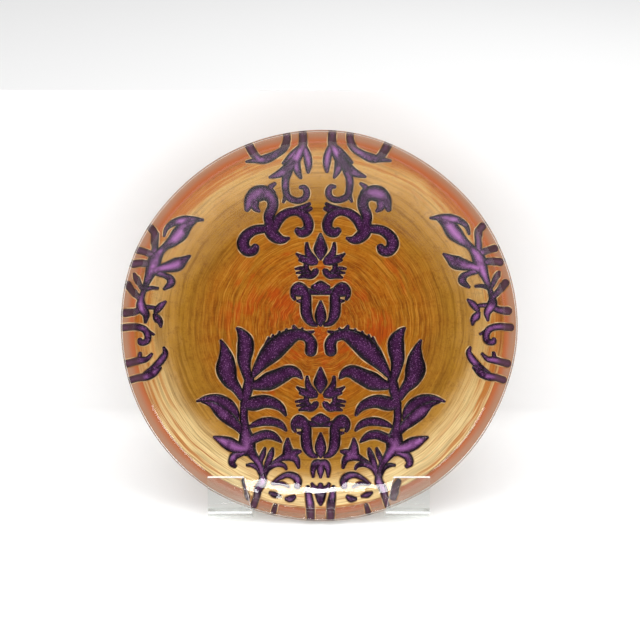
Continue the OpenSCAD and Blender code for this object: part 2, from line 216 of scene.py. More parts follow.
class Graph:
    """Adds nodes to one node tree and links them."""

    def __init__(self, tree: bpy.types.NodeTree) -> None:
        """Keeps the tree."""
        self.tree = tree

    def find(self, kind: str) -> bpy.types.Node:
        """The tree's first node of a type."""
        return next(n for n in self.tree.nodes if n.type == kind)

    def fill(self, node: bpy.types.Node, inputs: Inputs) -> None:
        """Links sockets into a node's inputs, or sets the inputs' own values.

        Args:
            node: The node.
            inputs: Input names or numbers, each with a value or a socket.
        """
        for name, value in inputs.items():
            if isinstance(value, Socket):
                self.tree.links.new(value, node.inputs[name])
            else:
                node.inputs[name].default_value = value

    def add(self, kind: str, inputs: Inputs | None = None, **settings: object) -> bpy.types.Node:
        """Adds a node.

        Args:
            kind: The node's type.
            inputs: Input names or numbers, each with a value or a socket.
            settings: Properties of the node.

        Returns:
            The new node.
        """
        node = self.tree.nodes.new(kind)
        for name, value in settings.items():
            setattr(node, name, value)
        self.fill(node, inputs or {})
        return node

    def effect(self, tree: bpy.types.NodeTree, **inputs: float) -> bpy.types.bpy_prop_collection:
        """Places a shared effect with its own values, and gives its outputs."""
        return self.add("ShaderNodeGroup", inputs, node_tree=tree).outputs

    def math(self, operation: str, *values: object, clamp: bool = False) -> Socket:
        """One sum on values or sockets."""
        node = self.add("ShaderNodeMath", dict(enumerate(values)), operation=operation, use_clamp=clamp)
        return node.outputs[0]

    def times(self, first: object, second: object) -> Socket:
        """The product of two values."""
        return self.math("MULTIPLY", first, second)

    def plus(self, first: object, second: object) -> Socket:
        """The sum of two values."""
        return self.math("ADD", first, second)

    def vector(self, operation: str, inputs: Inputs, output: str = "Vector") -> Socket:
        """One sum on vectors."""
        return self.add("ShaderNodeVectorMath", inputs, operation=operation).outputs[output]

    def span(
        self, value: object, low: float, high: float, to_low: float = 0.0, to_high: float = 1.0
    ) -> Socket:
        """Maps a range onto another, smoothly and held at its ends.

        Args:
            value: The value to map.
            low: Start of its range.
            high: End of its range.
            to_low: Result at the start.
            to_high: Result at the end.

        Returns:
            The mapped value.
        """
        limits = {"Value": value, "From Min": low, "From Max": high, "To Min": to_low, "To Max": to_high}
        return self.add("ShaderNodeMapRange", limits, interpolation_type="SMOOTHSTEP").outputs["Result"]

    def mix(self, factor: object, first: object, second: object) -> Socket:
        """Mixes two colours."""
        return self.add("ShaderNodeMix", {0: factor, 6: first, 7: second}, data_type="RGBA").outputs[2]

    def glaze(self, under: object, mask: object, strength: float, code: str) -> Socket:
        """Lays a colour, given by its code, over another where the mask is strong."""
        return self.mix(self.times(mask, strength), under, tint(code))

    def ramp(self, value: object, stops: Iterable[tuple[float, str]]) -> Socket:
        """A colour ramp.

        Args:
            value: Place along the ramp.
            stops: Places with their colour codes.

        Returns:
            The colour.
        """
        node = self.add("ShaderNodeValToRGB", {"Fac": value})
        items = list(stops)
        elements = node.color_ramp.elements
        while len(elements) < len(items):
            elements.new(0.5)
        for element, (place, code) in zip(elements, items):
            element.position = place
            element.color = tint(code)
        return node.outputs["Color"]

    def noise(self, vector: object, scale: object, detail: float = 3.0, rough: float = 0.55) -> Socket:
        """Cloud noise as a value."""
        settings = {"Vector": vector, "Scale": scale, "Detail": detail, "Roughness": rough}
        return self.add("ShaderNodeTexNoise", settings).outputs["Fac"]

    def bump(self, height: object, strength: float, distance: float) -> Socket:
        """The normal of a bumpy surface."""
        settings = {"Strength": strength, "Distance": distance, "Height": height}
        return self.add("ShaderNodeBump", settings).outputs[0]

    def surface(self, factor: object, first: bpy.types.Node, second: bpy.types.Node, end: str) -> None:
        """Shows a mix of two shaders.

        Args:
            factor: Share of the second.
            first: One shader.
            second: The other shader.
            end: Type of the output node.
        """
        either = self.add("ShaderNodeMixShader", {0: factor, 1: first.outputs[0], 2: second.outputs[0]})
        self.fill(self.find(end), {"Surface": either.outputs[0]})


def group(
    name: str, inputs: dict[str, float], values: tuple[str, ...], vectors: tuple[str, ...] = ()
) -> tuple[Graph, bpy.types.bpy_prop_collection, bpy.types.Node]:
    """Starts a shader node group with named sockets.

    Args:
        name: The group's name.
        inputs: Value inputs with their defaults.
        values: Names of the value outputs.
        vectors: Names of the vector outputs.

    Returns:
        The group's graph, the sockets of its inputs, and its output node.
    """
    tree = bpy.data.node_groups.new(name, "ShaderNodeTree")
    for label, default in inputs.items():
        socket = tree.interface.new_socket(label, in_out="INPUT", socket_type="NodeSocketFloat")
        socket.default_value = default
    for labels, kind in ((values, "NodeSocketFloat"), (vectors, "NodeSocketVector")):
        for label in labels:
            tree.interface.new_socket(label, in_out="OUTPUT", socket_type=kind)
    graph = Graph(tree)
    return graph, graph.add("NodeGroupInput").outputs, graph.add("NodeGroupOutput")


class ShaderKit:
    """Node groups that several finishes share."""

    def __init__(self, place: PlateFrame) -> None:
        """Builds the groups.

        Args:
            place: The plate's frame.
        """
        self.place = self._place_group(place)
        self.brush = self._brush_group()
        self.flakes = self._flake_group()
        self.smudge = self._smudge_group()

    @staticmethod
    def _place_group(place: PlateFrame) -> bpy.types.NodeTree:
        """Where a point lies on the plate: radius, across and up in millimetres, and its direction.

        Args:
            place: The plate's frame.

        Returns:
            The group.
        """
        graph, _, out = group("plate_place", {}, ("Radius", "Across", "Up"), ("Heading",))
        where = graph.add("ShaderNodeTexCoord").outputs["Object"]
        turn = (place.lean, 0.0, 0.0)
        lie = {"Vector": where, "Location": place.centre, "Rotation": turn, "Scale": (MM, MM, MM)}
        local = graph.add("ShaderNodeMapping", lie, vector_type="TEXTURE").outputs[0]
        parts = graph.add("ShaderNodeSeparateXYZ", {0: local}).outputs
        flat = graph.add("ShaderNodeCombineXYZ", {0: parts[0], 1: parts[1]}).outputs[0]
        radius = graph.vector("LENGTH", {0: flat}, "Value")
        heading = graph.vector("NORMALIZE", {0: flat})
        graph.fill(out, {"Radius": radius, "Across": parts[0], "Up": parts[1], "Heading": heading})
        return graph.tree

    def _brush_group(self) -> bpy.types.NodeTree:
        """Strokes of a brush drawn round the turning plate.

        Returns:
            The group.
        """
        names = ("Streak", "Fine", "Patch", "Mottle", "Radius", "Up")
        graph, given, out = group("brushed_rings", {"Pitch": 1.5, "Run": 1.2, "Wander": 3.0}, names)
        place = graph.effect(self.place)
        drift = graph.noise(graph.vector("MULTIPLY", {0: place["Heading"], 1: (1.6, 1.6, 1.6)}), 1.4, 2.0)
        ring = graph.plus(place["Radius"], graph.times(graph.math("SUBTRACT", drift, 0.5), given["Wander"]))

        def rings(pitch: object, run: object, detail: float) -> Socket:
            """Noise drawn out round the centre.

            Args:
                pitch: Width of a stroke.
                run: How soon a stroke changes along its way.
                detail: Detail of the noise.

            Returns:
                The noise.
            """
            turned = graph.vector("SCALE", {0: place["Heading"], "Scale": run})
            lift = graph.add("ShaderNodeCombineXYZ", {2: graph.math("DIVIDE", ring, pitch)}).outputs[0]
            return graph.noise(graph.vector("ADD", {0: turned, 1: lift}), 1.0, detail, 0.6)

        broad = rings(graph.times(given["Pitch"], 4.0), given["Run"], 3.0)
        fine = rings(given["Pitch"], graph.times(given["Run"], 2.0), 2.0)
        flat = graph.add("ShaderNodeCombineXYZ", {0: place["Across"], 1: place["Up"]}).outputs[0]
        patch = graph.plus(graph.times(graph.noise(flat, 0.03, 3.0, 0.6), 0.7), graph.times(broad, 0.3))
        coarse = graph.times(graph.noise(flat, 0.13, 3.0, 0.6), 0.5)
        mottle = graph.plus(coarse, graph.times(graph.noise(flat, 0.5, 2.0, 0.7), 0.5))
        graph.fill(out, dict(zip(names, (broad, fine, patch, mottle, place["Radius"], place["Up"]))))
        return graph.tree

    @staticmethod
    def _flake_group() -> bpy.types.NodeTree:
        """Tiny reflecting flakes, with a mask, a random value each and their tilted normals.

        Returns:
            The group.
        """
        graph, given, out = group(
            "metal_flakes", {"Size": 0.7, "Share": 0.3, "Tilt": 0.3}, ("Mask", "Random"), ("Normal",)
        )
        where = graph.add("ShaderNodeTexCoord").outputs["Object"]
        scale = graph.math("DIVIDE", 1000.0, given["Size"])
        cells = graph.add("ShaderNodeTexVoronoi", {"Vector": where, "Scale": scale}).outputs["Color"]
        parts = graph.add("ShaderNodeSeparateColor", {0: cells}).outputs
        turned = graph.vector("SUBTRACT", {0: cells, 1: (0.5, 0.5, 0.5)})
        tilt = graph.vector("SCALE", {0: turned, "Scale": given["Tilt"]})
        face = graph.add("ShaderNodeNewGeometry").outputs["Normal"]
        normal = graph.vector("NORMALIZE", {0: graph.vector("ADD", {0: face, 1: tilt})})
        mask = graph.math("LESS_THAN", parts[0], given["Share"])
        graph.fill(out, {"Mask": mask, "Random": parts[1], "Normal": normal})
        return graph.tree

    @staticmethod
    def _smudge_group() -> bpy.types.NodeTree:
        """Faint wipe marks and dust on clear pieces, as a mask and a slow ripple.

        Returns:
            The group.
        """
        graph, given, out = group("wipe_marks", {"Amount": 0.4, "Scale": 26.0}, ("Mask", "Ripple"))
        where = graph.add("ShaderNodeTexCoord").outputs["Object"]
        wipe = graph.noise(where, given["Scale"], 4.0, 0.6)
        mask = graph.times(graph.span(wipe, 0.45, 0.75), given["Amount"])
        graph.fill(out, {"Mask": mask, "Ripple": graph.noise(where, 34.0, 1.0, 0.4)})
        return graph.tree


# ------------------------------------------------------------------ finishes


@dataclass(frozen=True)
class Finish:
    """A finish that makes one material."""

    name: str

    def start(self) -> tuple[bpy.types.Material, Graph, bpy.types.Node]:
        """Makes an empty material.

        Returns:
            The material, its graph and its Principled shader.
        """
        material = bpy.data.materials.new(self.name)
        material.use_nodes = True
        graph = Graph(material.node_tree)
        return material, graph, graph.find("BSDF_PRINCIPLED")


@dataclass(frozen=True)
class EnamelFinish(Finish):
    """Raised dark enamel with fine flakes; each line carries painted shade along its edges and a painted
    highlight on its crest.
    """

    # The edge colour is painted shade along each line's edges, the crest colour a painted highlight on its
    # top, and the sheen colour a painted highlight for crests on the rim slopes.
    rim: str = "080103"
    body: str = "1e081e"
    crest: str = "360c36"
    painted_sheen: str = "b06cb2"
    flake: str = "b274b4"
    lip: str = "4a3034"
    roughness: float = 0.3

    def build(self, kit: ShaderKit) -> bpy.types.Material:
        """Makes the material.

        Args:
            kit: The shared node groups.

        Returns:
            The material.
        """
        material, graph, shader = self.start()
        dome = graph.add("ShaderNodeAttribute", attribute_name="dome").outputs["Fac"]
        place = graph.add("ShaderNodeTexCoord").outputs["Object"]
        radius = graph.effect(kit.place)["Radius"]
        cloud = graph.noise(place, 75.0, 2.0, 0.5)
        grain = graph.noise(place, 900.0, 2.0, 0.6)
        uneven = graph.plus(graph.times(cloud, 0.5), graph.times(grain, 0.35))
        # Painted shade and highlight: the ramp darkens each line towards its edges and lightens it towards
        # its crest, shifted by random unevenness in the paint.
        level = graph.math("ADD", dome, graph.math("SUBTRACT", uneven, 0.5), clamp=True)
        paint = graph.ramp(level, [(0.0, self.rim), (0.26, self.rim), (0.5, self.body), (0.95, self.crest)])
        flakes = graph.effect(kit.flakes, Size=0.6, Share=0.34, Tilt=0.4)
        bright = graph.times(flakes["Mask"], graph.math("POWER", flakes["Random"], 3.0))
        # Painted highlight: a lilac sheen on the crests of lines that lie on the rim slopes, where the lamps
        # would catch them, broken up by cloud noise.
        slope = graph.times(graph.span(radius, 100.0, 142.0, 0.05, 1.0), graph.span(cloud, 0.38, 0.6))
        paint = graph.glaze(paint, graph.times(graph.math("POWER", dome, 4.0), slope), 0.9, self.painted_sheen)
        # Flakes show more on the crests than on the edges, which keeps the painted shade at the edges.
        sparkle = graph.times(bright, graph.span(dome, 0.2, 0.7, 0.02, 0.55))
        paint = graph.mix(sparkle, paint, tint(self.flake))
        looks = {
            "Base Color": graph.glaze(paint, graph.span(radius, 150.0, 156.0), 0.8, self.lip),
            "Metallic": graph.times(bright, 0.8),
            "Roughness": graph.span(cloud, 0.3, 0.7, self.roughness - 0.06, self.roughness + 0.1),
            "Normal": flakes["Normal"],
            "Specular IOR Level": 0.04,
            "Coat Weight": 0.35,
            "Coat Roughness": 0.13,
        }
        graph.fill(shader, looks)
        return material


@dataclass(frozen=True)
class GoldFinish(Finish):
    """Brushed gold ground: orange-brown in the well, pale on the rim, orange at its edge; the pale rim is
    partly painted highlight, strongest on the lower half.
    """

    roughness: float = 0.38
    metallic: float = 0.5
    # The pale ring on the rim, from about 126 to 147 mm, is partly the gold's own lighter tone and partly a
    # painted highlight of the rim slope.
    bands: tuple[tuple[float, str], ...] = (
        (0, "a44404"), (42, "aa5403"), (60, "b45f02"), (76, "ae650c"), (90, "aa600e"),
        (105, "a66d1e"), (116, "a87423"), (126, "bd8a40"), (134, "cf9f5c"), (141, "d9ad68"),
        (147, "cd9650"), (152, "ab5515"), (156, "a0501c"),
    )

    def build(self, kit: ShaderKit) -> bpy.types.Material:
        """Makes the material.

        Args:
            kit: The shared node groups.

        Returns:
            The material.
        """
        material, graph, shader = self.start()
        brush = graph.effect(kit.brush, Pitch=0.8, Run=1.7, Wander=6.0)
        radius, streak, fine, mottle = brush["Radius"], brush["Streak"], brush["Fine"], brush["Mottle"]
        strayed = graph.times(graph.math("SUBTRACT", brush["Patch"], 0.5), 40.0)
        strayed = graph.times(strayed, graph.span(radius, 156.0, 140.0))
        reach = graph.math("DIVIDE", graph.plus(radius, strayed), DishProfile.radius)
        ground = graph.ramp(reach, [(r / DishProfile.radius, code) for r, code in self.bands])
        ground = graph.glaze(ground, graph.span(mottle, 0.4, 0.62), 0.4, "bb8424")
        ground = graph.glaze(ground, graph.span(mottle, 0.5, 0.34), 0.4, "7d480a")
        worn = graph.times(graph.span(brush["Patch"], 0.49, 0.6), graph.span(radius, 96.0, 66.0))
        ground = graph.glaze(ground, worn, 0.8, "b84402")
        # Painted highlight: the lower half of the rim is mixed towards pale cream along the brush lines,
        # where it faces the lamps.
        lit_lower_rim = graph.times(graph.span(brush["Up"], 20.0, -110.0), graph.span(radius, 124.0, 141.0))
        pale = graph.times(lit_lower_rim, graph.span(fine, 0.36, 0.6, 0.45, 1.0))
        ground = graph.mix(pale, ground, tint("fbe0a6"))
        stain = graph.times(graph.span(streak, 0.49, 0.63), graph.span(radius, 130.0, 148.0))
        ground = graph.glaze(ground, stain, 0.8, "b8610f")
        ground = graph.glaze(ground, graph.span(streak, 0.5, 0.34), 0.3, "6b380c")
        ringed = graph.span(radius, 112.0, 84.0, 0.35, 1.0)
        ground = graph.glaze(ground, graph.times(graph.span(fine, 0.5, 0.7), ringed), 0.45, "dc9c3c")
        ground = graph.glaze(ground, graph.times(graph.span(fine, 0.48, 0.3), ringed), 0.55, "6a2e08")
        looks = {
            "Base Color": ground,
            "Metallic": self.metallic,
            "Specular IOR Level": 0.15,
            "Roughness": graph.span(streak, 0.3, 0.7, self.roughness - 0.05, self.roughness + 0.12),
            "Normal": graph.bump(graph.plus(graph.times(mottle, 0.8), graph.times(fine, 0.5)), 0.5, 0.0005),
        }
        graph.fill(shader, looks)
        return material


@dataclass(frozen=True)
class EdgeHighlightFinish(Finish):
    """Painted highlight: a pale gold line round the enamel that stands for the light caught by the edges of
    the relief.
    """

    light: str = "d2ae80"
    dark: str = "94602a"

    def build(self, kit: ShaderKit) -> bpy.types.Material:
        """Makes the material.

        Args:
            kit: The shared node groups.

        Returns:
            The material.
        """
        material, graph, shader = self.start()
        cloud = graph.noise(graph.add("ShaderNodeTexCoord").outputs["Object"], 120.0, 2.0, 0.6)
        looks = {
            "Base Color": graph.mix(graph.span(cloud, 0.35, 0.7), tint(self.dark), tint(self.light)),
            "Metallic": 0.4,
            "Roughness": graph.span(cloud, 0.3, 0.7, 0.28, 0.45),
            "Normal": graph.bump(cloud, 0.3, 0.0002),
        }
        graph.fill(shader, looks)
        return material


@dataclass(frozen=True)
class WashFinish(Finish):
    """Thin see-through amber wash on the clear lip."""

    inner: str = "b05414"
    outer: str = "ac7858"

    def build(self, kit: ShaderKit) -> bpy.types.Material:
        """Makes the material.

        Args:
            kit: The shared node groups.

        Returns:
            The material.
        """
        material, graph, shader = self.start()
        brush = graph.effect(kit.brush, Pitch=1.4, Run=2.0, Wander=2.0)
        out = graph.span(brush["Radius"], 155.0, 162.0)
        broken = graph.times(brush["Streak"], 0.12)
        thin = graph.math("SUBTRACT", graph.span(out, 0.0, 1.0, 1.0, 0.86), broken)
        looks = {
            "Base Color": graph.mix(out, tint(self.inner), tint(self.outer)),
            "Alpha": graph.times(thin, graph.span(brush["Up"], -90.0, -158.0, 1.0, 0.7)),
            "Roughness": graph.span(brush["Fine"], 0.3, 0.7, 0.35, 0.55),
        }
        graph.fill(shader, looks)
        return material


@dataclass(frozen=True)
class LacquerFinish(Finish):
    """Satin bronze lacquer that seals the back."""

    light: str = "a87a3c"
    dark: str = "855722"

    def build(self, kit: ShaderKit) -> bpy.types.Material:
        """Makes the material.

        Args:
            kit: The shared node groups.

        Returns:
            The material.
        """
        material, graph, shader = self.start()
        brush = graph.effect(kit.brush, Pitch=0.7, Run=2.2, Wander=5.0)
        tone = graph.plus(graph.times(brush["Fine"], 0.45), graph.times(brush["Streak"], 0.25))
        tone = graph.plus(tone, graph.times(brush["Mottle"], 0.3))
        looks = {
            "Base Color": graph.mix(graph.span(tone, 0.34, 0.66), tint(self.dark), tint(self.light)),
            "Metallic": 0.6,
            "Roughness": graph.span(brush["Fine"], 0.3, 0.7, 0.36, 0.52),
            "Normal": graph.bump(graph.plus(brush["Streak"], graph.times(brush["Fine"], 0.5)), 0.45, 0.0004),
        }
        graph.fill(shader, looks)
        return material


@dataclass(frozen=True)
class ClearFinish(Finish):
    """Clear glass or acrylic that lets light through to what it covers."""

    colour: str = "fbfdfb"
    index: float = 1.5
    roughness: float = 0.008
    marks: float = 0.03
    ripple: float = 0.0003

    def build(self, kit: ShaderKit) -> bpy.types.Material:
        """Makes the material.

        Args:
            kit: The shared node groups.

        Returns:
            The material.
        """
        material, graph, shader = self.start()
        wipe = graph.effect(kit.smudge, Amount=self.marks, Scale=26.0)
        looks = {
            "Base Color": tint(self.colour),
            "Transmission Weight": 1.0,
            "IOR": self.index,
            "Roughness": graph.plus(wipe["Mask"], self.roughness),
            "Normal": graph.bump(wipe["Ripple"], 1.0, self.ripple),
        }
        graph.fill(shader, looks)
        rays = graph.add("ShaderNodeLightPath").outputs
        passing = graph.math("MAXIMUM", rays["Is Shadow Ray"], rays["Is Reflection Ray"])
        through = graph.add("ShaderNodeBsdfTransparent", {"Color": (0.97, 0.98, 0.97, 1.0)})
        graph.surface(passing, shader, through, "OUTPUT_MATERIAL")
        return material


# ------------------------------------------------------------------ making meshes


def finish_piece(
    mesh_source: BMesh,
    name: str,
    material: bpy.types.Material,
    body: str,
    sharp: float = 40.0,
) -> bpy.types.Object:
    """Turns a bmesh into a finished object that rides on a body.

    Args:
        mesh_source: The shape, in metres in the row's frame. It is freed.
        name: The piece's name.
        material: Its material.
        body: The body that it rides on.
        sharp: Edges above this angle, in degrees, stay sharp.

    Returns:
        The new object.
    """
    mesh = bpy.data.meshes.new(name)
    mesh_source.normal_update()
    mesh_source.to_mesh(mesh)
    mesh_source.free()
    mesh.shade_smooth()
    mesh.set_sharp_from_angle(angle=math.radians(sharp))
    mesh.materials.append(material)
    piece = bpy.data.objects.new(name, mesh)
    bpy.context.scene.collection.objects.link(piece)
    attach(piece, body)
    LOG.info("%s: %d faces", name, len(mesh.polygons))
    return piece


def lathe(section: list[Pair], steps: int, closed: bool) -> BMesh:
    """Spins a section about the plate's axis.

    Args:
        section: Radius and height pairs.
        steps: Steps in the full turn.
        closed: True if the section's ends meet away from the axis.

    Returns:
        The closed shape, in the plate's own millimetres.
    """
    shape = bmesh.new()
    points = [shape.verts.new((r, 0.0, h)) for r, h in section]
    edges = [shape.edges.new(pair) for pair in zip(points, points[1:])]
    if closed:
        edges.append(shape.edges.new((points[-1], points[0])))
    bmesh.ops.spin(
        shape,
        geom=points + edges,
        cent=(0, 0, 0),
        axis=(0, 0, 1),
        angle=math.tau,
        steps=steps,
        use_merge=True,
    )
    bmesh.ops.remove_doubles(shape, verts=shape.verts, dist=0.001)
    bmesh.ops.recalc_face_normals(shape, faces=shape.faces)
    return shape


def settle(shape: BMesh, place: PlateFrame, profile: DishProfile, wave: float = 0.0) -> None:
    """Gives a spun shape the plate's uneven outline and puts it in its place.

    Args:
        shape: The shape, in the plate's own millimetres.
        place: The plate's frame.
        profile: The plate's section.
        wave: Height of the slow ripple of the front, in millimetres.
    """
    for vert in shape.verts:
        r = math.hypot(vert.co.x, vert.co.y)
        if r > 1.0:
            factor = profile.edge(math.atan2(vert.co.y, vert.co.x))
            reach = min(1.0, max(0.0, (r - 60.0) / 60.0))
            vert.co.x *= 1.0 + (factor - 1.0) * reach
            vert.co.y *= 1.0 + (factor - 1.0) * reach
        if wave and vert.co.z > profile.back(r) + 2.5 and r < 163.0:
            vert.co.z += wave * noise.noise(Vector((vert.co.x / 34.0, vert.co.y / 34.0, 0.7)))
    bmesh.ops.transform(shape, matrix=place.matrix, verts=shape.verts)


class Side(Enum):
    """Where a motif lies on the plate."""

    MIDDLE = "middle"
    LEFT = "left"
    RIGHT = "right"


@dataclass(frozen=True)
class Relief:
    """Section of a laid line, as shares of its half width and height."""

    tallest: float = 1.45
    least: float = 0.42
    steepness: float = 0.27
    floor: float = 0.9
    widen: float = 0.0
    flank: Path = (
        (1.0, 0.0, 0.0), (0.965, 0.42, 0.05), (0.86, 0.72, 0.18), (0.66, 0.89, 0.48), (0.36, 0.975, 0.84),
    )

    def section(self) -> list[tuple[float, float, float]]:
        """Runs from the left foot over the crest to the right foot, and back underneath.

        Returns:
            Place across, height and shade of each point.
        """
        left = [(-x, h, dome) for x, h, dome in self.flank]
        return [*left, (0.0, 1.0, 1.0), *reversed(self.flank), (0.7, -1.0, 0.0), (-0.7, -1.0, 0.0), left[0]]

    def height(self, half_width: float) -> float:
        """Height of a line of that half width."""
        return min(self.tallest, self.least + self.steepness * half_width)


@dataclass(frozen=True)
class Line:
    """One laid line of enamel: across, up and half width along its middle."""

    path: Path
    spans: int = 5

    def ribs(self) -> list[tuple[Vector, Vector, float, float]]:
        """Cuts across the line.

        Returns:
            For each cut its place, the direction across it, its half width, and the share of its height.
        """
        points = [Vector(p) for p in self.path]
        points = [points[0] * 2 - points[1], *points, points[-1] * 2 - points[-2]]
        along: list[Vector] = []
        for a, b, c, d in zip(points, points[1:], points[2:], points[3:]):
            for i in range(self.spans):
                t = i / self.spans
                square, cube = a * 2 - b * 5 + c * 4 - d, b * 3 - a - c * 3 + d
                along.append((b * 2 + (c - a) * t + square * t**2 + cube * t**3) * 0.5)
        along.append(points[-2])
        places = [p.xy for p in along]
        widths = [max(p.z, 0.25) for p in along]
        last = len(places) - 1
        headings = [(places[min(i + 1, last)] - places[max(i - 1, 0)]).normalized() for i in range(last + 1)]
        cuts = [(p, h.orthogonal(), w, 1.0) for p, h, w in zip(places, headings, widths)]
        start = [
            (places[0] - headings[0] * widths[0] * s, headings[0].orthogonal(), widths[0] * w, w)
            for s, w in ((0.97, 0.24), (0.82, 0.57), (0.5, 0.87))
        ]
        end = [
            (places[-1] + headings[-1] * widths[-1] * s, headings[-1].orthogonal(), widths[-1] * w, w)
            for s, w in ((0.5, 0.87), (0.82, 0.57), (0.97, 0.24))
        ]
        return start + cuts + end

    def lay(
        self, shape: BMesh, relief: Relief, profile: DishProfile, turn: Callable[[Vector], Vector]
    ) -> None:
        """Lays the line on the plate's back.

        Args:
            shape: Takes the new faces, in the plate's own millimetres.
            relief: The line's section.
            profile: The plate's section.
            turn: Carries a point of the pattern to its place on the plate.
        """
        cuts = self.ribs()
        layer = shape.verts.layers.float.get("dome") or shape.verts.layers.float.new("dome")
        section = relief.section()
        rows, columns = len(cuts), len(section)
        made = bmesh.ops.create_grid(shape, x_segments=rows - 1, y_segments=columns - 1, size=1.0)["verts"]
        for vert in made:
            i = round((vert.co.x + 1.0) / 2.0 * (rows - 1))
            j = round((vert.co.y + 1.0) / 2.0 * (columns - 1))
            spot, across, half, share = cuts[i]
            x, h, dome = section[j]
            reach = half + relief.widen * share
            at = turn(spot + across * reach * x)
            r = at.length
            limit = profile.wash_radius * profile.edge(math.atan2(at.y, at.x))
            if r > limit:
                at *= limit / r
            tall = relief.height(half) * share
            lift = 0.35 * h if h < 0.0 else tall * h
            vert.co = (at.x, at.y, profile.back_at(at.x, at.y) + relief.floor + lift)
            # The dome value drives the enamel's painted shade and highlight: low at a line's edges and ends
            # and on thin lines, high on the crest of wide ones.
            vert[layer] = dome * min(1.0, 0.42 + half * 0.17) * share
        bmesh.ops.remove_doubles(shape, verts=made, dist=0.0005)


@dataclass(frozen=True)
class Motif:
    """One island of enamel, or a group of islands that belong together."""

    node: str
    lines: tuple[Path, ...]
    side: Side
    shift: tuple[float, float] = (0.0, 0.0)
    paired: tuple[Path, ...] = ()

    def turn(self, mirrored: bool) -> Callable[[Vector], Vector]:
        """Carries the motif's own points to their place on the plate.

        Args:
            mirrored: True to turn left into right.

        Returns:
            The move.
        """
        sign = -1.0 if mirrored else 1.0
        step = Vector(self.shift)
        return lambda p: Vector((p.x * sign, p.y)) + step

    def lay(self, shape: BMesh, relief: Relief, profile: DishProfile) -> None:
        """Lays every line of the motif.

        Args:
            shape: Takes the new faces, in the plate's own millimetres.
            relief: The lines' section.
            profile: The plate's section.
        """
        mirrored = self.side is Side.RIGHT
        for path in self.lines:
            Line(path).lay(shape, relief, profile, self.turn(mirrored))
        for path in self.paired:
            for flip in (False, True):
                Line(path).lay(shape, relief, profile, self.turn(flip))
        open_ends = [e for e in shape.edges if e.is_boundary]
        bmesh.ops.holes_fill(shape, edges=open_ends, sides=0)
        bmesh.ops.recalc_face_normals(shape, faces=shape.faces)


# ------------------------------------------------------------------ the pattern
# Each line is a row of (across, up, half width), in millimetres from the plate's centre.

FINIAL_CENTRE = (
    ((0, 78.5, 0.5), (0, 72, 3.4), (0, 65, 5.6), (0, 59.5, 3.2), (0, 56, 0.5)),
    ((-7, 33, 1.4), (0, 33, 5.2), (7, 33, 1.4)),
    ((0, 21.5, 0.5), (0, 15, 3.2), (0, 8, 4.6), (0, 3, 3.2), (0, 0, 0.8)),
)
FINIAL_HALF = (
    ((-11.5, 70.5, 0.9), (-11, 65, 1.9), (-9, 59.5, 3), (-5, 56, 2.4), (-2.6, 54.5, 0.8)),
    ((-18, 56, 0.8), (-13, 56, 3), (-7.5, 54.5, 3), (-3.5, 53.5, 1.4)),
    ((-21.5, 48.5, 0.5), (-16, 49, 1.5), (-11.5, 47.5, 1.6), (-9, 44.5, 1.8)),
    ((-18.5, 41, 0.6), (-12.5, 43, 2.4), (-7.5, 43, 2.6), (-4, 46.5, 2.4), (-3, 47.5, 1.5)),
    ((-21.5, 22.5, 1), (-23, 26, 1.8), (-22.4, 31, 2.4), (-18.6, 34, 3), (-14.4, 31, 3.6), (-12.2, 25, 4),
     (-12.4, 17, 4.3), (-11.5, 9, 4.2), (-8, 3, 2.8), (-3, 0.5, 1)),
    ((-20, 28.5, 3.2), (-16.5, 29, 4)),
    ((-20, 21.5, 0.6), (-13, 20.5, 2.6)),
)
BELL_CENTRE = (
    ((0, -118.5, 2.4), (0, -125, 2.8), (0, -131, 0.7)),
)
BELL_HALF = (
    ((1, -119.5, 2.8), (-4, -119, 3), (-6.3, -124, 2.2), (-6.4, -130.5, 0.7)),
)
CROWN_CENTRE = (
    ((0, -136.5, 1.8), (0, -142, 4.6), (0, -149, 3), (0, -153, 0.7)),
)
CROWN_HALF = (
    ((-7.6, -135.4, 0.8), (-5, -139.5, 2.2), (1, -141.5, 2.6)),
    ((-11, -138, 1.3), (-10.2, -145, 2.6), (-8.8, -153, 3.2), (-8.4, -164, 3)),
)
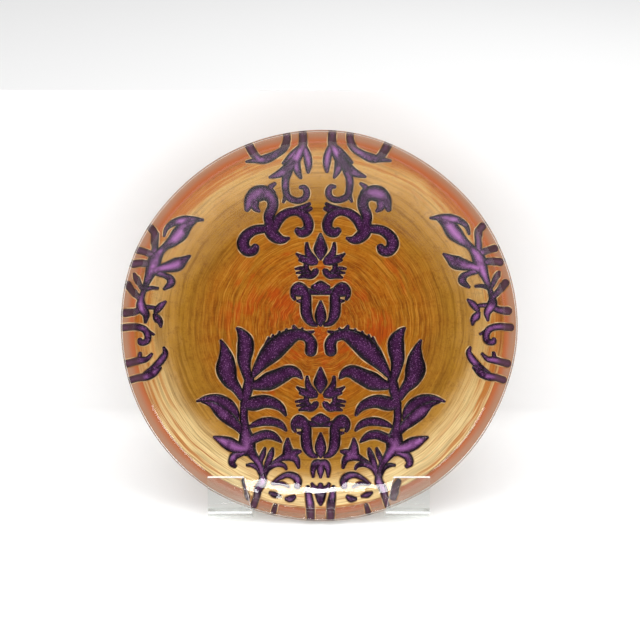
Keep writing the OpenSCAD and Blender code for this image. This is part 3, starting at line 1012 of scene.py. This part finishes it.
BOUGH = (
    ((-61, -106, 6.5), (-61.5, -99, 6.8), (-63, -89, 3.8), (-64, -78, 3), (-63, -67, 3.2), (-61, -57, 4),
     (-59, -48, 4), (-58, -41, 2)),
    ((-83, -12, 0.6), (-80.3, -18.5, 2.8), (-78.5, -28, 6.4), (-78.5, -38, 8.4), (-75.5, -47, 6.4),
     (-70, -54, 4), (-65, -62, 3)),
    ((-69.5, -1.5, 0.6), (-66, -5, 3), (-62.3, -12, 6.2), (-62, -20, 6.6), (-63.2, -29, 5.6), (-62, -38, 4),
     (-59.5, -46, 3.6)),
    ((-56, -43, 2), (-49, -33, 5.2), (-40, -22.5, 8.6), (-29.5, -13, 7.8), (-19, -7.5, 5), (-10.5, -9.3, 4),
     (-6.5, -15, 4.6), (-6.8, -22, 4.6)),
    ((-19, -6, 3.6), (-21.5, 0.5, 0.6)),
    ((-12, -7, 2.4), (-4, -4.6, 0.5)),
    ((-45, -21, 3), (-42, -9.5, 0.6)),
    ((-59, -51, 2.5), (-52, -50.8, 4.4), (-43, -48, 7.4), (-34, -43.8, 6.8), (-25, -39.6, 5.6),
     (-18.5, -40.8, 3.6), (-14, -45.5, 0.6)),
    ((-104, -64.5, 0.5), (-95, -62.2, 2.4), (-85, -63.6, 4.2), (-76.5, -68.5, 4.6), (-71, -75, 2.8),
     (-68.6, -81, 0.5)),
    ((-100, -64.8, 0.5), (-91.5, -67.2, 2.6), (-83, -74, 5.6), (-75.5, -81, 5), (-68.5, -87.5, 3.4),
     (-63, -94, 2.6)),
    ((-63, -68, 4.4), (-55, -67, 6), (-46, -65.2, 5.4), (-38, -67, 4.4), (-32, -71, 3), (-28, -77.5, 0.8)),
    ((-60.5, -88, 0.6), (-54, -85, 2.4), (-46, -82.8, 3.4), (-38, -83.2, 3.3), (-32, -86, 2.6),
     (-27.5, -91, 0.6)),
    ((-60, -99.5, 4), (-53, -96.5, 3.8), (-46, -94.2, 3.8), (-40, -95, 3.4), (-35.5, -97.8, 2.2),
     (-32, -100.8, 0.6)),
    ((-90, -94.8, 0.5), (-84, -97.5, 3), (-77, -101, 5.2), (-70, -104.5, 4.8), (-63, -105.5, 4)),
    ((-60, -106, 4), (-67, -109.5, 2.6), (-72.5, -112, 3.2), (-74, -117, 2.8), (-71, -120.5, 1)),
)
FLORET = (
    ((-61, -104, 6), (-56.5, -111, 3.6), (-51.5, -118, 2.6), (-48.5, -126, 2.4), (-48, -133, 3.2),
     (-51.5, -139, 3), (-53, -145, 2.6), (-55.5, -152, 2.6)),
    ((-46, -105.5, 0.8), (-47.8, -111, 2.1), (-50, -117, 1.8), (-49, -124, 1.4)),
    ((-39.5, -106, 1), (-41, -111, 2.4), (-43.3, -117, 2.4), (-46, -125, 1.8), (-47.5, -131, 1.8)),
    ((-62, -119.5, 0.6), (-57, -119.5, 1.6), (-52, -123, 1.4), (-49, -129, 1.4)),
    ((-47.5, -130, 1.6), (-43, -122.5, 2), (-36, -119.2, 2.2), (-30, -120.5, 1.6), (-27.5, -124, 0.6)),
    ((-26.5, -97.5, 0.8), (-26.8, -104, 3.2), (-26, -111, 5)),
    ((-25, -111.5, 4.6), (-19.5, -109.5, 2.6), (-15.5, -108.8, 1)),
    ((-26, -111.5, 4.4), (-19.5, -115.5, 2.8), (-17.2, -123, 0.8)),
    ((-26, -112, 4.4), (-33, -115, 2), (-41, -119.5, 1.6)),
    ((-67, -134, 1), (-63.5, -140, 2.2), (-61, -146, 2.2)),
)
ARCH_SCROLL = (
    ((-40.5, -135.5, 0.6), (-34, -131, 1.5), (-27, -128.2, 2.1), (-20.5, -129.8, 2.8), (-17.6, -134, 2.9),
     (-18.6, -138.2, 2.2)),
    ((-39, -135.8, 0.7), (-32, -135, 1.2), (-25, -138.5, 0.6)),
)
PETAL_DROPS = (
    ((-42.5, -142, 0.5), (-38, -144, 2), (-32.5, -145.5, 0.5)),
    ((-28.5, -147.5, 0.9), (-24, -147.6, 2.4), (-20.5, -145.8, 1.2)),
    ((-37, -152.5, 1.6), (-38.5, -157.5, 2)),
)
UPPER_SCROLL = (
    ((-40.5, 86, 4), (-41.5, 93, 4.2), (-38.5, 101, 4.2), (-39, 107.5, 4.6), (-44, 112.2, 6), (-51, 112, 6.6),
     (-56.5, 107, 5.2), (-60, 98.5, 1.8)),
    ((-54, 106, 4.2), (-53, 100.5, 2.8), (-49.5, 97, 0.8)),
    ((-39, 112, 3), (-40.5, 117, 2.2), (-36, 121, 0.9)),
    ((-38, 82, 4), (-33.5, 90, 3.9), (-27, 95.3, 3.5), (-19, 96.8, 3.2), (-12, 93.5, 3.6), (-8.6, 87, 3.9),
     (-9.8, 81, 3.9), (-14.5, 79.2, 3.9), (-18, 81, 2.4)),
    ((-20, 98.5, 2), (-12.5, 100.4, 2.1), (-7.5, 103.5, 1.1)),
    ((-13, 96, 2), (-6.5, 99.5, 1.4)),
    ((-41, 82, 3), (-47, 82.2, 3.4), (-55, 80.6, 3.8), (-61.5, 75.5, 4.4), (-63.4, 69, 4.8), (-60, 63.8, 4.3),
     (-55, 64, 3.8), (-52.8, 67, 2.8)),
    ((-42, 86, 3.5), (-40, 79.8, 5), (-35.5, 75, 4.6), (-30, 73, 3), (-24.5, 74.5, 0.7)),
)
STEM_CROOK = (
    ((-25, 131, 3), (-27.5, 124, 2.8), (-27.5, 115.5, 2.6), (-25.3, 109, 2.5), (-18, 105.9, 2.3),
     (-11.8, 108, 2.4), (-10, 113, 2.4), (-12, 117.2, 1.9), (-15.6, 117.4, 1.2)),
    ((-27, 111, 2), (-29.7, 104.5, 0.7)),
    ((-17, 148, 3), (-21, 139.5, 4), (-27, 132.2, 4.2), (-34, 128.3, 2.6), (-41, 126, 0.7)),
    ((-16, 150, 2.6), (-22.5, 143.5, 2.8), (-30, 137.5, 0.6)),
    ((-19.5, 139, 4), (-17.5, 131, 2.6), (-14.7, 125, 0.8)),
    ((-20.5, 138, 4), (-16, 147, 3.6), (-13, 154, 3.1), (-13, 163, 2.8)),
    ((-8.8, 129.8, 0.9), (-8.6, 137, 2.8), (-9.5, 144, 3), (-12, 151, 2.4)),
)
TOP_ARC = (
    ((-60, 139.5, 0.6), (-52, 140.5, 2), (-44, 141.5, 3.4), (-36, 145, 2.8), (-29, 150, 2.6),
     (-26.2, 156, 2.7), (-26, 161.5, 2.6)),
    ((-49, 141.3, 2.6), (-53.5, 146, 3), (-57, 152.5, 3.2)),
)
SIDE_SPRAY = (
    ((-96, 90.7, 0.6), (-104, 91.2, 2.4), (-112, 90.5, 3.8), (-120, 89, 2.6), (-126, 84.5, 1.6),
     (-128.5, 77.5, 0.5)),
    ((-102, 91, 1.5), (-110, 86.5, 4.8), (-116, 79, 6.2), (-122, 73, 4.4), (-129, 67.5, 2.6), (-135, 61, 4)),
    ((-131, 66, 2.6), (-136, 59, 5), (-138.5, 51, 5), (-142, 42.5, 3), (-145.8, 33, 1.8), (-148.5, 25, 2.4),
     (-148.4, 18.5, 3.8), (-144.8, 11.5, 2.6), (-145.5, 4.5, 0.7)),
    ((-136, 60, 3), (-136, 70, 2.4), (-135.5, 80, 2.6), (-138.5, 85, 2.8)),
    ((-138, 62, 3), (-143, 64.5, 2.4), (-149, 66.5, 2.8)),
    ((-139, 54, 3), (-146, 55.5, 2.6), (-153.5, 55, 3)),
    ((-107.5, 60.5, 0.5), (-112.5, 57, 3), (-118, 53.5, 5.6), (-125, 51.5, 4.6), (-131, 50.5, 3.4),
     (-137, 49, 4)),
    ((-134, 47, 3), (-129, 44.3, 2), (-124.7, 41.5, 2.8), (-124.2, 37, 3), (-130, 32.3, 0.8)),
    ((-146, 31.5, 1), (-141, 34, 1.4), (-134.5, 33.5, 0.8)),
    ((-146.5, 31, 0.9), (-149, 37, 1.6), (-151.5, 43, 1.9), (-153, 47, 0.8)),
    ((-149, 25, 2), (-154, 31, 2.2), (-158.5, 38, 2.8)),
    ((-128.5, 22, 0.7), (-132.5, 18.5, 2.4), (-136, 14.5, 2.3), (-137.5, 11.5, 1)),
    ((-138, 11.7, 1.2), (-136, 8, 2.9), (-133.6, 4.5, 2.2), (-133, 0, 0.6)),
    ((-136, 16.5, 1.3), (-141, 17.5, 1.5), (-147, 18, 2)),
    ((-148, 17, 2.4), (-154, 14.5, 2.6), (-161, 14, 3.2)),
)
RIM_SCROLL = (
    ((-163, 1.6, 2.8), (-154, 1.8, 2.6), (-146.5, -0.8, 2.5), (-143.6, -6.5, 2.5), (-145, -11.3, 2.4),
     (-149.2, -11.8, 2.3), (-150.3, -9, 1.4)),
    ((-145, -2.5, 2.2), (-138.5, -6, 0.6)),
)
RIM_LEAF = (
    ((-161, -29, 3), (-156, -28, 2.7), (-150.5, -26.8, 2.8), (-145, -26.3, 1.9), (-140.5, -22, 0.8)),
    ((-151, -27, 2), (-150, -20.5, 1)),
    ((-131, -17, 0.7), (-129.8, -22, 2.1), (-133, -28, 2.9), (-139, -33.5, 2.3), (-147, -38.5, 1)),
    ((-134.5, -34, 1.8), (-140, -38.5, 3.4), (-146, -41, 3.1), (-152, -41.5, 2.6), (-158, -43, 2.6)),
)
FINIAL_LACE = (
    ((-10.5, 57, 1.6), (-12.2, 50.5, 2), (-11, 44.5, 1.6)),
    ((-13, 30.5, 2.4), (-8, 29, 2.2), (-3, 28.8, 2), (1, 28.6, 1.8)),
    ((-20.5, 61.5, 0.5), (-16, 58.5, 1.8), (-12, 58, 1.6)),
    ((-20.5, 45, 0.5), (-16, 45.5, 1.2), (-12, 45, 1.4)),
)
BOUGH_TEETH = (
    ((-33, -4.6, 0.5), (-35, -11.5, 2.2)),
    ((-27, -2.4, 0.5), (-29, -9, 2.2)),
    ((-13.5, -1.8, 0.5), (-16.5, -6.5, 1.8)),
    ((-38.5, -7.4, 0.5), (-40, -14, 2.2)),
)


def pattern() -> list[Motif]:
    """Lists every motif of the plate with its place.

    Returns:
        The motifs. The right-hand ones are set by hand and sit a little off the exact mirror image.
    """
    axis = 1.5
    motifs = [
        Motif("upper_finial", FINIAL_CENTRE, Side.MIDDLE, (axis, 0.0), FINIAL_HALF + FINIAL_LACE),
        Motif("lower_finial", FINIAL_CENTRE, Side.MIDDLE, (axis, -114.0), FINIAL_HALF + FINIAL_LACE),
        Motif("bell_drop", BELL_CENTRE, Side.MIDDLE, (axis, 0.0), BELL_HALF),
        Motif("base_crown", CROWN_CENTRE, Side.MIDDLE, (axis, 0.0), CROWN_HALF),
    ]
    sides = (
        ("bough", BOUGH + BOUGH_TEETH + FLORET, (3.4, 0.0)),
        ("arch_scroll", ARCH_SCROLL, (3.5, 0.0)),
        ("petal_drops", PETAL_DROPS, (3.5, 0.0)),
        ("upper_scroll", UPPER_SCROLL, (-1.5, 0.0)),
        ("stem_crook", STEM_CROOK, (-2.0, 0.5)),
        ("top_arc", TOP_ARC, (-0.5, 0.8)),
        ("side_spray", SIDE_SPRAY, (-3.5, 1.5)),
        ("rim_scroll", RIM_SCROLL, (-3.0, 0.0)),
        ("rim_leaf", RIM_LEAF, (-3.0, 0.0)),
    )
    for name, lines, step in sides:
        motifs.append(Motif(f"left_{name}", lines, Side.LEFT))
        motifs.append(Motif(f"right_{name}", lines, Side.RIGHT, step))
    return motifs


# ------------------------------------------------------------------ the two loose pieces


@dataclass
class DisplayPlate:
    """The glass with everything that is laid on its back."""

    place: PlateFrame
    profile: DishProfile
    kit: ShaderKit
    body: str = "plate"
    steps: int = 288

    def glass(self) -> bpy.types.Object:
        """The slumped glass with its rounded lip.

        Returns:
            The glass.
        """
        shape = lathe(self.profile.glass_section(), self.steps, closed=False)
        settle(shape, self.place, self.profile, wave=0.22)
        clear = ClearFinish("clear_pressed_glass").build(self.kit)
        piece = finish_piece(shape, "slumped_glass_dish", clear, self.body, sharp=80.0)
        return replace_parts(piece, "glass_plate")

    def coat(
        self, names: tuple[str, str, str], reach: Pair, heights: Pair, finish: Finish
    ) -> bpy.types.Object:
        """One thin coat that follows the back.

        Args:
            names: The piece's name, the frame's node that it stands for, and a slot label that is not used.
            reach: Inner and outer radius.
            heights: Back and front of the coat above the seat.
            finish: Its finish.

        Returns:
            The coat.
        """
        name, node, slot = names
        section = self.profile.sheet_section(*reach, *heights)
        shape = lathe(section, self.steps, closed=reach[0] > 0.0)
        settle(shape, self.place, self.profile)
        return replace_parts(finish_piece(shape, name, finish.build(self.kit), self.body), node)

    def coats(self) -> None:
        """Gold ground, rim wash and sealing lacquer."""
        ground = self.profile.ground_radius
        lip = (ground - 0.6, self.profile.wash_radius)
        gold, wash = GoldFinish("brushed_gold"), WashFinish("amber_wash")
        lacquer = LacquerFinish("bronze_lacquer")
        coats = (
            (("brushed_gold_ground", "gold_ground", "gold"), (0.0, ground), (0.3, 1.0), gold),
            (("amber_lip_wash", "amber_rim_wash", "amber"), lip, (0.94, 1.02), wash),
            (("back_sealing_lacquer", "sealing_coat", "sealer"), (0.0, ground), (0.0, 0.3), lacquer),
        )
        for names, reach, heights, finish in coats:
            self.coat(names, reach, heights, finish)

    def enamel(self) -> None:
        """The raised motifs, and a pale line of painted highlight round them and along the lower rim."""
        paint = EnamelFinish("aubergine_enamel").build(self.kit)
        highlight_lines = bmesh.new()
        # Painted highlight: a low, wider line under each motif shows as a pale edge round it, where the
        # relief's edges would catch the light.
        highlight_relief = Relief(tallest=0.5, least=0.4, steepness=0.02, floor=1.0, widen=1.3)
        for motif in pattern():
            shape = bmesh.new()
            motif.lay(shape, Relief(floor=1.0, widen=0.6), self.profile)
            bmesh.ops.transform(shape, matrix=self.place.matrix, verts=shape.verts)
            piece = finish_piece(shape, f"enamel_{motif.node}", paint, self.body, sharp=75.0)
            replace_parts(piece, motif.node)
            motif.lay(highlight_lines, highlight_relief, self.profile)
        # Painted highlight: a pale line along the edge of the gold on the lower third of the rim, where the
        # glass's rounded lip would throw a bright line.
        arc = [math.radians(211.0 + 3.0 * i) for i in range(40)]
        edge = self.profile.ground_radius - 0.4
        lower_rim_highlight = tuple((edge * math.cos(a), edge * math.sin(a), 0.42) for a in arc)
        border_highlight_relief = Relief(tallest=0.4, least=0.4, floor=1.0)
        Motif("lower_rim_highlight", (lower_rim_highlight,), Side.MIDDLE).lay(highlight_lines, border_highlight_relief, self.profile)
        bmesh.ops.transform(highlight_lines, matrix=self.place.matrix, verts=highlight_lines.verts)
        line = EdgeHighlightFinish("painted_edge_highlight").build(self.kit)
        finish_piece(highlight_lines, "painted_highlight_line", line, self.body, sharp=75.0)

    def build(self) -> None:
        """Builds the whole plate."""
        self.coats()
        self.enamel()
        self.glass()


@dataclass
class AcrylicEasel:
    """The clear stand, bent from one sheet, with flame-polished edges."""

    kit: ShaderKit
    edge_round: float = 0.55
    body: str = "easel"

    def build(self) -> bpy.types.Object:
        """Rounds the edges of the frame's easel and dresses it.

        Returns:
            The easel.
        """
        shape = bmesh.new()
        shape.from_mesh(frame["nodes"]["easel"].data)
        bmesh.ops.remove_doubles(shape, verts=shape.verts, dist=MERGE / 2)
        bmesh.ops.dissolve_limit(
            shape,
            angle_limit=math.radians(0.6),
            use_dissolve_boundaries=False,
            verts=shape.verts,
            edges=shape.edges,
        )
        bmesh.ops.recalc_face_normals(shape, faces=shape.faces)
        sharp = [e for e in shape.edges if len(e.link_faces) == 2 and e.calc_face_angle() > math.radians(40)]
        bmesh.ops.bevel(
            shape,
            geom=sharp,
            offset=self.edge_round * MM,
            offset_type="OFFSET",
            segments=3,
            profile=0.5,
            affect="EDGES",
            clamp_overlap=True,
            material=-1,
        )
        bmesh.ops.remove_doubles(shape, verts=shape.verts, dist=MERGE)
        bmesh.ops.dissolve_degenerate(shape, dist=MERGE, edges=shape.edges)
        clear = ClearFinish("clear_acrylic", "fcfefe", 1.49, 0.012, 0.04, 0.0001).build(self.kit)
        piece = finish_piece(shape, "bent_sheet_easel", clear, self.body, sharp=30.0)
        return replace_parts(piece, "easel")


# ------------------------------------------------------------------ studio


@dataclass
class Studio:
    """Pale sweep, soft lamps, sky and camera."""

    place: PlateFrame
    wall_y: float = 0.098
    wall_top: float = 0.33
    corner: float = 0.018
    half_width: float = 2.6
    floor: float = -0.0002
    camera_height: float = 27.5
    camera_reach: float = 1.254

    def sweep(self) -> None:
        """A pale floor that turns up into a low wall behind the object and is see-through from its back."""
        shape = bmesh.new()
        wide, bend_y = self.half_width, self.wall_y - self.corner
        start = shape.verts.new((-wide, -wide, self.floor))
        bend = shape.verts.new((-wide, bend_y, self.floor))
        shape.edges.new((start, bend))
        far = shape.verts.new((-wide, wide, self.floor * 2))
        near = shape.verts.new((-wide, bend_y, self.floor * 2))
        shape.edges.new((near, far))
        turned = bmesh.ops.spin(
            shape,
            geom=[bend],
            cent=(-wide, bend_y, self.corner + self.floor),
            axis=(1, 0, 0),
            angle=math.radians(90),
            steps=16,
            use_merge=False,
        )["geom_last"]
        corner = next(g for g in turned if isinstance(g, bmesh.types.BMVert))
        top = shape.verts.new((-wide, self.wall_y, self.wall_top))
        shape.edges.new((corner, top))
        drawn = bmesh.ops.extrude_edge_only(shape, edges=shape.edges[:])["geom"]
        verts = [g for g in drawn if isinstance(g, bmesh.types.BMVert)]
        bmesh.ops.translate(shape, verts=verts, vec=(wide * 2, 0, 0))
        shape.normal_update()
        flipped = [f for f in shape.faces if f.normal.z < -0.01 or f.normal.y > 0.01]
        bmesh.ops.reverse_faces(shape, faces=flipped)
        mesh = bpy.data.meshes.new("pale_sweep")
        shape.to_mesh(mesh)
        shape.free()
        mesh.shade_smooth()
        material, graph, shader = Finish("pale_paper").start()
        graph.fill(shader, {"Base Color": (0.9, 0.9, 0.9, 1.0), "Roughness": 0.9, "Specular IOR Level": 0.0})
        behind = graph.add("ShaderNodeNewGeometry").outputs["Backfacing"]
        graph.surface(behind, shader, graph.add("ShaderNodeBsdfTransparent"), "OUTPUT_MATERIAL")
        mesh.materials.append(material)
        paper = bpy.data.objects.new("pale_sweep", mesh)
        bpy.context.scene.collection.objects.link(paper)

    @staticmethod
    def lamp(name: str, at: Vector, target: Vector, size: tuple[float, float], radiance: float) -> None:
        """A rectangular soft lamp.

        Args:
            name: The lamp's name.
            at: Its place.
            target: What it faces.
            size: Its width and height, in metres.
            radiance: Its brightness when seen.
        """
        data = bpy.data.lights.new(name, "AREA")
        data.shape = "RECTANGLE"
        data.size, data.size_y = size
        data.energy = radiance * math.pi * size[0] * size[1]
        lamp = bpy.data.objects.new(name, data)
        lamp.location = at
        lamp.rotation_euler = (target - at).to_track_quat("-Z", "Y").to_euler()
        bpy.context.scene.collection.objects.link(lamp)

    def mirrored(self, angle: float, radius: float) -> tuple[Vector, Vector]:
        """Where the glass at a place on the rim throws the camera's view.

        Args:
            angle: Direction of the place from the plate's centre, in radians.
            radius: Its distance from the centre, in millimetres.

        Returns:
            The place, and the direction that is mirrored there.
        """
        profile = DishProfile()
        slope = profile.back(radius + 0.5) - profile.back(radius - 0.5)
        height = profile.back(radius) + profile.coat + profile.glass
        spot = self.place.matrix @ Vector((radius * math.cos(angle), radius * math.sin(angle), height))
        tilt = Vector((-slope * math.cos(angle), -slope * math.sin(angle), 1.0))
        normal = (self.place.matrix.to_3x3() @ tilt).normalized()
        sight = (bpy.context.scene.camera.location - spot).normalized()
        return spot, (normal * 2.0 * normal.dot(sight) - sight).normalized()

    def lamps(self) -> None:
        """The long lamp that lights the lower rim, two side banks, and a lamp for the back."""
        centre = self.place.centre + self.place.out * 0.008
        for step in range(4):
            spot, away = self.mirrored(math.radians(252.0 + 12.0 * step), 142.5)
            self.lamp(f"arc_lamp_{step + 1}", spot + away * 1.1, spot, (0.19, 0.034), 13.0)
        banks = (
            ("left_bank", (-1.08, -0.68, 0.8), (0.6, 0.6), 5.6),
            ("right_bank", (1.08, -0.68, 0.8), (0.6, 0.6), 5.6),
            ("top_bank", (0.0, -0.3, 1.5), (1.7, 0.9), 2.2),
            ("back_bank", (0.5, 1.3, 0.9), (0.8, 0.6), 2.5),
        )
        for name, away, size, radiance in banks:
            self.lamp(name, centre + Vector(away), centre, size, radiance)

    @staticmethod
    def sky() -> None:
        """White where it is seen, dimmer where it lights and reflects."""
        world = bpy.data.worlds.new("studio_sky")
        world.use_nodes = True
        bpy.context.scene.world = world
        graph = Graph(world.node_tree)
        lit = graph.find("BACKGROUND")
        rays = graph.add("ShaderNodeLightPath").outputs
        direction = graph.add("ShaderNodeTexCoord").outputs["Generated"]
        upward = graph.add("ShaderNodeSeparateXYZ", {0: direction}).outputs["Z"]
        mirrored = graph.span(upward, 0.09, -0.1, 0.06, 0.8)
        share = {0: rays["Is Glossy Ray"], 2: 0.7, 3: mirrored}
        strength = graph.add("ShaderNodeMix", share, data_type="FLOAT").outputs[0]
        graph.fill(lit, {"Color": (1.0, 1.0, 1.0, 1.0), "Strength": strength})
        seen = graph.add("ShaderNodeBackground", {"Color": (1.0, 1.0, 1.0, 1.0), "Strength": 1.0})
        direct = graph.math("MAXIMUM", rays["Is Camera Ray"], rays["Is Transmission Ray"])
        graph.surface(direct, lit, seen, "OUTPUT_WORLD")

    def camera(self) -> None:
        """A long lens that looks down on the plate from a little above its own axis."""
        data = bpy.data.cameras.new("camera")
        data.lens = 85.0
        camera = bpy.data.objects.new("camera", data)
        bpy.context.scene.collection.objects.link(camera)
        height = math.radians(self.camera_height)
        back = Vector((0.0, -math.cos(height), math.sin(height)))
        target = self.place.centre + self.place.out * 0.02 + Vector((0.001, 0.0, 0.0088))
        camera.location = target + back * self.camera_reach
        camera.rotation_mode = "QUATERNION"
        camera.rotation_quaternion = (-back).to_track_quat("-Z", "Y")
        bpy.context.scene.camera = camera

    def build(self) -> None:
        """Builds the studio."""
        self.camera()
        self.sky()
        self.lamps()
        self.sweep()
        bpy.context.scene.view_settings.view_transform = "Standard"


def main() -> None:
    """Builds the plate, the easel and the studio, and logs each piece's face count."""
    logging.basicConfig(level=logging.INFO, format="%(name)s: %(message)s")
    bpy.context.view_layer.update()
    profile = DishProfile()
    place = PlateFrame.from_record(frame["record"], profile.coat + profile.glass)
    kit = ShaderKit(place)
    Studio(place).build()
    DisplayPlate(place, profile, kit).build()
    AcrylicEasel(kit).build()


if __name__ == "__main__":
    main()
